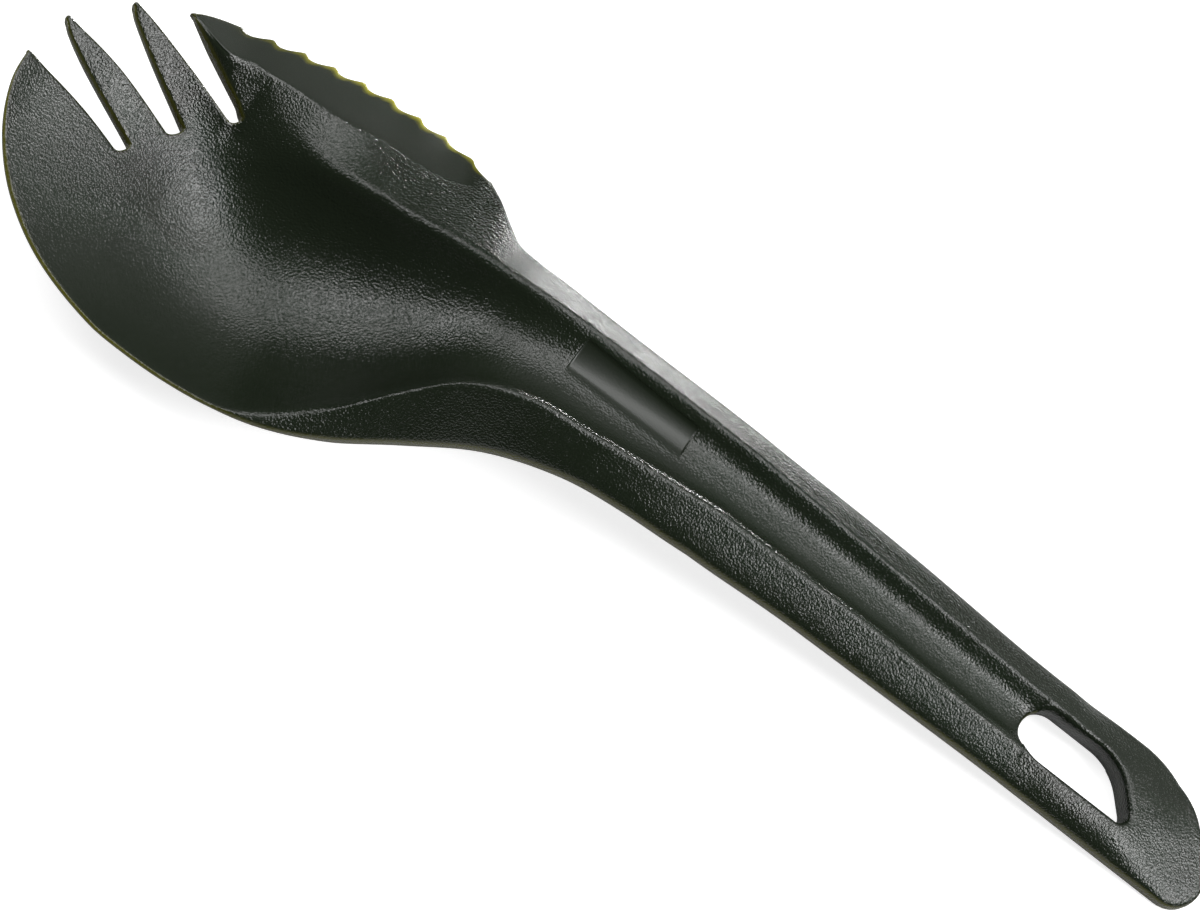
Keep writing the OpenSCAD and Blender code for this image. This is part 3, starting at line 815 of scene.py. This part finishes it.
def is_far(point):
    """On the blade's side of the ridge, which in front is the short tine with its inner edge."""
    on_tine = point[row_layer] <= ROOT_ROW
    return point[column_layer] >= RIDGE_COLUMN + (not on_tine)


def thickness(x, y, row, far):
    wall = WALL
    if ROWS[row][0] == "tine":
        wall = mix(TIP_WALL, WALL, ROWS[row][1])
    lip = (1 - ease(y - lip_y(x), 0, LIP_BAND)) * (1 - ease(x, *LIP_FADES))
    wall = mix(wall, LIP_WALL, lip)
    if far and x < BLADE_END:
        bevel = bevel_y(x)
        spine = SPINE * ease(x, *SPINE_GROWS) * (1 - ease(x, *SPINE_FADES))
        wall += spine * ease(y - ridge_y(x), 0, SPINE_BAND)
        thin = min(max((y - bevel) / max(cutting_y(x) - bevel, LEAST_BEVEL), 0), 1)
        wall = mix(wall, BLADE_EDGE, thin * (1 - ease(x, HEEL - HEEL_FADE, HEEL + HEEL_FADE)))
    return wall


print("thickness at the blade's edge:", thickness(40, cutting_y(40), HOLE_ROW, True), "mm")

# %% A lean of the second tine, and the rounding of rims
LEAN, LEAN_GROWS, LEAN_FADES = .55, (0, .4), (.5, 1)
HOLE_BAND = 1.5


def lean(row, column):
    """The second tine's spoon side lies a little lower than its blade side."""
    zone, way = ROWS[row]
    band, k = COLUMNS[column]
    if zone != "tine" or band not in ("slot_1", "tine_2"):
        return 0
    aside = (k if band == "tine_2" else 0) - .5
    return LEAN * aside * (1 - ease(way, *LEAN_FADES)) * ease(way, *LEAN_GROWS)


def rounded(distance, radius):
    """How far a rim with this radius falls away at a distance from it."""
    inside = max(radius - distance, 0)
    return radius - math.sqrt(max(radius * radius - inside * inside, 0))


def by_hole(point):
    flat = Vector((point.co.x, point.co.y, 0))
    return point[row_layer] >= HOLE_ROW and hole_tree.find(flat)[2] < HOLE_BAND


print("points by the hole:", sum(by_hole(p) for p in skin.verts))

# %% Lift the net to the top of the moulding
LOOP_JOIN, UNDER_JOIN = (146, 150), (134, 141)
HOLE_RADIUS, TOP_RADIUS, HANDLE_RADIUS, UNDER_RADIUS, WALL_SHARE = .7, .35, .5, .3, .4
for point in skin.verts:
    x, y = point.co.xy
    row, far = point[row_layer], is_far(point)
    loop = ease(x, *LOOP_JOIN)
    z = mix(top_z(x, y, far), loop_z(point.co), loop) if loop else top_z(x, y, far)
    z += lean(row, point[column_layer])
    wall = thickness(x, y, row, far)
    under = mix(z - wall, -WALL, ease(x, *UNDER_JOIN))
    outer_radius = min(mix(TOP_RADIUS, HANDLE_RADIUS, ease(x, *ROLL_GROWS)), WALL_SHARE * wall)
    top_radius = HOLE_RADIUS if by_hole(point) else outer_radius
    under_radius = min(UNDER_RADIUS, WALL_SHARE * wall)
    point[under_layer] = under + rounded(point[rim_layer], under_radius)
    point.co.z = z - edge_roll(point) - rounded(point[rim_layer], top_radius)
levels = [p.co.z for p in skin.verts]
print("top from", round(min(levels), 2), "to", round(max(levels), 2), "mm")

# %% [markdown]
# ## Where the finish changes, and where light through thin plastic is painted
# The tool is polished where the blade is ground and where the panel is sunk, so those places have no
# grain, and the panel is duller than the rest. Where the plastic is thin, light shining through it is
# painted into the colour as a yellow-green glow: strongest at the teeth, a little along the other outer
# rims. All three are kept as numbers on the points, which the material reads as attributes.

# %% Polished, matte and thin places, with the painted glow
GRIND_OUT, GRIND_IN, GRIND_FADES = .35, .1, (HEEL - 2.5, HEEL - .5)
RIM_GLOW, RIM_BAND = (.12, .24), (.3, .45)
LIP_GLOW_BAND, LIP_GLOW_FADES = (.3, .6), (20, 50)
TOOTH_GLOW, TOOTH_BAND = (.5, 1), (.6, 1.3)
TEETH_GROW, TEETH_FADE = (14, 36), (HEEL - 6, HEEL + 2)


def polished(x, y, far):
    if far:
        return ease(y, bevel_y(x) - GRIND_OUT, bevel_y(x) + GRIND_IN) * (1 - ease(x, *GRIND_FADES))
    return in_panel(x, y)


# Painted light: how much yellow-green glow is painted into the colour where backlight would shine through
# thin plastic; the shader has no real translucency.
def painted_through_light(x, y, far, rim):
    lip = (1 - ease(y - lip_y(x), *LIP_GLOW_BAND)) * (1 - ease(x, *LIP_GLOW_FADES))
    edge = mix(*RIM_GLOW, lip) * (1 - ease(rim, 0, mix(*RIM_BAND, lip)))
    if not far or x > TEETH_FADE[1]:
        return edge
    tooth = abs((x - FIRST_TOOTH) / TOOTH_PITCH % 1.0 - .5) * 2
    teeth = (1 - ease(cutting_y(x) - y, 0, mix(*TOOTH_BAND, tooth))) * mix(*TOOTH_GLOW, tooth)
    return max(edge, teeth * ease(x, *TEETH_GROW) * (1 - ease(x, *TEETH_FADE)))


# The thin numbers are painted glow: light through thin plastic, painted into the colour.
for point in skin.verts:
    x, y = point.co.xy
    far = is_far(point)
    point[polish_layer] = polished(x, y, far)
    point[matte_layer] = 0 if far else in_panel(x, y)
    point[painted_glow_layer] = 0 if by_hole(point) else painted_through_light(x, y, far, point[rim_layer])
print("polished points:", sum(p[polish_layer] > .5 for p in skin.verts))

# %% [markdown]
# ## The underside
# Extruding all faces at once makes a second skin, joined to the first by a wall along every rim. Its
# points are then moved down by the plastic's thickness. The two places that touch the table are cut flat,
# as they are in the CAD part.

# %% Extrude the top to a closed moulding
top_faces = skin.faces[:]
made = bmesh.ops.extrude_face_region(skin, geom=top_faces)
for point in made["geom"]:
    if isinstance(point, bmesh.types.BMVert):
        point.co.z = point[under_layer]
print("closed skin:", len(skin.faces), "faces, open edges:", sum(e.is_boundary for e in skin.edges))

# %% [markdown]
# ## From the handle's line to the table
# The spork rests on the table on its bowl and on the handle's end, so the whole skin is turned a little
# about the handle's end, and then moved so that the middle of its box is over the origin. This is the
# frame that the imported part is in, in metres.

# %% Stand it on the table
BOWL_LOW, BOWL_FLOOR, FOOT_CUT = .35 * HEAD, 16.539, .3
REST_ANGLE = math.atan2(BOWL_FLOOR, LENGTH - BOWL_LOW)
tip_x = .0005 * HEAD
tip_shift = (lip_z(tip_x) - TIP_WALL) * math.sin(REST_ANGLE)
front_x = LENGTH - (LENGTH - tip_x) * math.cos(REST_ANGLE) + tip_shift
to_origin = Matrix.Translation((-(front_x + LENGTH) / 2, (SPOON_REACH - BLADE_REACH) / 2, -FOOT_CUT))
about_end = Matrix.Translation((LENGTH, 0, 0)) @ Matrix.Rotation(REST_ANGLE, 4, "Y")
about_end @= Matrix.Translation((-LENGTH, 0, 0))
lift_wall = Matrix.Translation((0, 0, WALL))
ON_TABLE = Matrix.Scale(.001, 4) @ to_origin @ about_end @ lift_wall
bmesh.ops.transform(skin, matrix=ON_TABLE, verts=skin.verts[:])
for point in skin.verts:
    point.co.z = max(point.co.z, 0)
bmesh.ops.recalc_face_normals(skin, faces=skin.faces[:])
print("turned by", round(math.degrees(REST_ANGLE), 2), "degrees")

# %% [markdown]
# ## The object
# The helper numbers on the points have done their work, so only the three that the material reads stay on
# the mesh. The object rides on the part's one body and stands for all of its regions.

# %% Make the object
mesh = bpy.data.meshes.new("spork_moulding")
skin.to_mesh(mesh)
skin.free()
for helper in ("row", "column", "rim", "under"):
    mesh.attributes.remove(mesh.attributes[helper])
mesh.polygons.foreach_set("use_smooth", [True] * len(mesh.polygons))
spork = bpy.data.objects.new("spork_moulding", mesh)
bpy.context.collection.objects.link(spork)
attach(spork, "root")
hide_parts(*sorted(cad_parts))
print("spork_moulding:", len(mesh.vertices), "points,", len(mesh.polygons), "faces")

# %% [markdown]
# ## The plastic
# The plastic is a dark olive, nearly black, with a fine spark-eroded grain that the steel tool leaves on
# it. The grain could be an image, but a noise on Object coordinates has no seam and no stretch. Two noises
# make it: a wrinkled one of about a quarter of a millimetre, and a finer one that breaks it up. They drive
# a bump that fades out where the tool was polished. A third, in broad patches, varies colour and roughness.

# %% The grain as a node group
grain = bpy.data.node_groups.new("spark_eroded_grain", "ShaderNodeTree")
grain.interface.new_socket("Vector", in_out="INPUT", socket_type="NodeSocketVector")
grain.interface.new_socket("Polished", in_out="INPUT", socket_type="NodeSocketFloat")
grain.interface.new_socket("Height", in_out="OUTPUT", socket_type="NodeSocketFloat")
grain.interface.new_socket("Mottle", in_out="OUTPUT", socket_type="NodeSocketFloat")


def add_node(tree, kind, values=None, **settings):
    node = tree.nodes.new(kind)
    for name, value in settings.items():
        setattr(node, name, value)
    for name, value in (values or {}).items():
        node.inputs[name].default_value = value
    return node


outside = add_node(grain, "NodeGroupInput")
result = add_node(grain, "NodeGroupOutput")
wrinkle = add_node(grain, "ShaderNodeTexNoise", {"Scale": 3900, "Detail": 1, "Roughness": .4})
speck = add_node(grain, "ShaderNodeTexNoise", {"Scale": 7000, "Detail": 1, "Roughness": .5})
patch = add_node(grain, "ShaderNodeTexNoise", {"Scale": 160, "Detail": 3, "Roughness": .55})
fine = add_node(grain, "ShaderNodeMath", {1: .3}, operation="MULTIPLY")
both = add_node(grain, "ShaderNodeMath", operation="ADD")
keep = add_node(grain, "ShaderNodeMapRange", {"To Min": 1, "To Max": .1})
faded = add_node(grain, "ShaderNodeMath", operation="MULTIPLY")
for noise in (wrinkle, speck, patch):
    grain.links.new(outside.outputs["Vector"], noise.inputs["Vector"])
grain.links.new(speck.outputs["Fac"], fine.inputs[0])
grain.links.new(wrinkle.outputs["Fac"], both.inputs[0])
grain.links.new(fine.outputs[0], both.inputs[1])
grain.links.new(outside.outputs["Polished"], keep.inputs["Value"])
grain.links.new(both.outputs[0], faded.inputs[0])
grain.links.new(keep.outputs["Result"], faded.inputs[1])
grain.links.new(faded.outputs[0], result.inputs["Height"])
grain.links.new(patch.outputs["Fac"], result.inputs["Mottle"])
print("grain group:", len(grain.nodes), "nodes")

# %% The olive plastic
plastic = bpy.data.materials.new("olive_plastic")
plastic.use_nodes = True
tree = plastic.node_tree
shader = tree.nodes["Principled BSDF"]
place = add_node(tree, "ShaderNodeTexCoord")
is_polished = add_node(tree, "ShaderNodeAttribute", attribute_name="polished")
is_matte = add_node(tree, "ShaderNodeAttribute", attribute_name="matte")
# The thin attribute says where light through thin plastic is painted into the colour as a glow.
painted_glow_attribute = add_node(tree, "ShaderNodeAttribute", attribute_name="thin")
eroded = add_node(tree, "ShaderNodeGroup", node_tree=grain)
tint = add_node(tree, "ShaderNodeMix", data_type="RGBA")
tint.inputs["A"].default_value = (.0062, .0098, .0047, 1)
tint.inputs["B"].default_value = (.008, .0124, .006, 1)
# Painted light: the yellow-green below is light shining through thin plastic, painted into the base colour,
# not translucency.
painted_glow_colour = add_node(tree, "ShaderNodeMix", data_type="RGBA")
painted_glow_colour.inputs["B"].default_value = (.34, .32, .004, 1)
rough = add_node(tree, "ShaderNodeMapRange", {"From Min": .3, "From Max": .7, "To Min": .19, "To Max": .24})
satin = add_node(tree, "ShaderNodeMix", {"B": .34})
bump = add_node(tree, "ShaderNodeBump", {"Strength": .9, "Distance": .0001})
tree.links.new(place.outputs["Object"], eroded.inputs["Vector"])
tree.links.new(is_polished.outputs["Fac"], eroded.inputs["Polished"])
tree.links.new(eroded.outputs["Mottle"], tint.inputs["Factor"])
tree.links.new(tint.outputs["Result"], painted_glow_colour.inputs["A"])
tree.links.new(painted_glow_attribute.outputs["Fac"], painted_glow_colour.inputs["Factor"])
tree.links.new(painted_glow_colour.outputs["Result"], shader.inputs["Base Color"])
tree.links.new(eroded.outputs["Mottle"], rough.inputs["Value"])
tree.links.new(rough.outputs["Result"], satin.inputs["A"])
tree.links.new(is_matte.outputs["Fac"], satin.inputs["Factor"])
tree.links.new(satin.outputs["Result"], shader.inputs["Roughness"])
tree.links.new(eroded.outputs["Height"], bump.inputs["Height"])
tree.links.new(bump.outputs["Normal"], shader.inputs["Normal"])
mesh.materials.append(plastic)
print("material:", plastic.name)

# %% [markdown]
# ## Floor and light
# The spork lies on a white table. The floor is plain and pale, and the camera sees a little extra glow on
# it, so that it comes out white and still shows the soft shadow. Five soft sources light the plastic: one
# on the right and a smaller one on the left, which give the grey streaks in the bowl, one above for the
# handle's channel, a low bright strip behind, which whitens the far slope of the neck, and a dim wide
# panel.

# %% Floor
floor_shape = bmesh.new()
bmesh.ops.create_grid(floor_shape, x_segments=1, y_segments=1, size=3)
floor_mesh = bpy.data.meshes.new("floor")
floor_shape.to_mesh(floor_mesh)
floor_shape.free()
floor = bpy.data.objects.new("floor", floor_mesh)
bpy.context.collection.objects.link(floor)
white = bpy.data.materials.new("white_table")
white.use_nodes = True
paint = white.node_tree.nodes["Principled BSDF"]
paint.inputs["Base Color"].default_value = (.6, .6, .6, 1)
paint.inputs["Roughness"].default_value = .8
paint.inputs["Emission Color"].default_value = (1, 1, 1, 1)
ray = add_node(white.node_tree, "ShaderNodeLightPath")
glow_level = add_node(white.node_tree, "ShaderNodeMath", {1: .8}, operation="MULTIPLY")
white.node_tree.links.new(ray.outputs["Is Camera Ray"], glow_level.inputs[0])
white.node_tree.links.new(glow_level.outputs[0], paint.inputs["Emission Strength"])
floor_mesh.materials.append(white)
print("floor:", floor.name)

# %% Light
world = bpy.data.worlds.new("studio")
world.use_nodes = True
world.node_tree.nodes["Background"].inputs["Color"].default_value = (1, 1, 1, 1)
world.node_tree.nodes["Background"].inputs["Strength"].default_value = .06
bpy.context.scene.world = world


def softbox(name, azimuth, elevation, distance, size, radiance, aim=(0, 0, 0)):
    """A soft source seen from the spork in a direction: azimuth from +Y towards +X, in degrees.
    Its size is given along the spork and across that."""
    a, e = math.radians(azimuth), math.radians(elevation)
    towards = Vector((math.sin(a) * math.cos(e), math.cos(a) * math.cos(e), math.sin(e)))
    lamp = bpy.data.lights.new(name, "AREA")
    lamp.shape = "RECTANGLE"
    lamp.size, lamp.size_y = size
    lamp.energy = radiance * math.pi * size[0] * size[1]
    light = bpy.data.objects.new(name, lamp)
    light.location = Vector(aim) + distance * towards
    along = Vector((1, 0, 0)) if abs(towards.x) < .7 else Vector((0, 1, 0))
    across = towards.cross(along).normalized()
    facing = Matrix([across.cross(towards), across, towards]).transposed()
    light.rotation_mode = "QUATERNION"
    light.rotation_quaternion = facing.to_quaternion()
    light.visible_camera = False
    bpy.context.collection.objects.link(light)
    return light


softboxes = [
    softbox("right_softbox", 90, 46, .8, (.36, .36), 12.0),
    softbox("left_softbox", -90, 50, .8, (.32, .3), 8.5),
    softbox("top_softbox", 15, 72, .8, (.6, .34), 5.0),
    softbox("back_strip", 4.6, .5, .45, (.05, .024), 200.0, aim=(0, 0, .008)),
    softbox("back_panel", 25, 32, 1.3, (2.0, 1.1), .42),
]
print("lights:", [light.name for light in softboxes])

# %% [markdown]
# ## Camera
# The camera looks down on the spoon side at 59 degrees, turned so that the handle runs to the lower right
# corner. Its lens and place were found by fitting the spork's own lines to the picture.

# %% Camera
scene = bpy.context.scene
scene.view_settings.view_transform = "Standard"
azimuth, elevation, roll = math.radians(-21), math.radians(59), math.radians(56.163)
back = Vector((math.sin(azimuth) * math.cos(elevation), -math.cos(azimuth) * math.cos(elevation),
               math.sin(elevation)))
level = Vector((math.cos(azimuth), math.sin(azimuth), 0))
upright = back.cross(level)
right = level * math.cos(roll) + upright * math.sin(roll)
up = upright * math.cos(roll) - level * math.sin(roll)
target, distance = Vector((80.641, -7.128, 0)), 460
turn = ON_TABLE.to_3x3() * 1000
camera_data = bpy.data.cameras.new("camera")
camera_data.sensor_fit = "HORIZONTAL"
camera_data.sensor_width = 36
camera_data.lens = 118.0
camera = bpy.data.objects.new("camera", camera_data)
axes = Matrix([turn @ right, turn @ up, turn @ back]).transposed().to_4x4()
camera.matrix_world = Matrix.Translation(ON_TABLE @ (target + distance * back)) @ axes
bpy.context.collection.objects.link(camera)
scene.camera = camera
print("camera at", [round(v, 3) for v in camera.location])
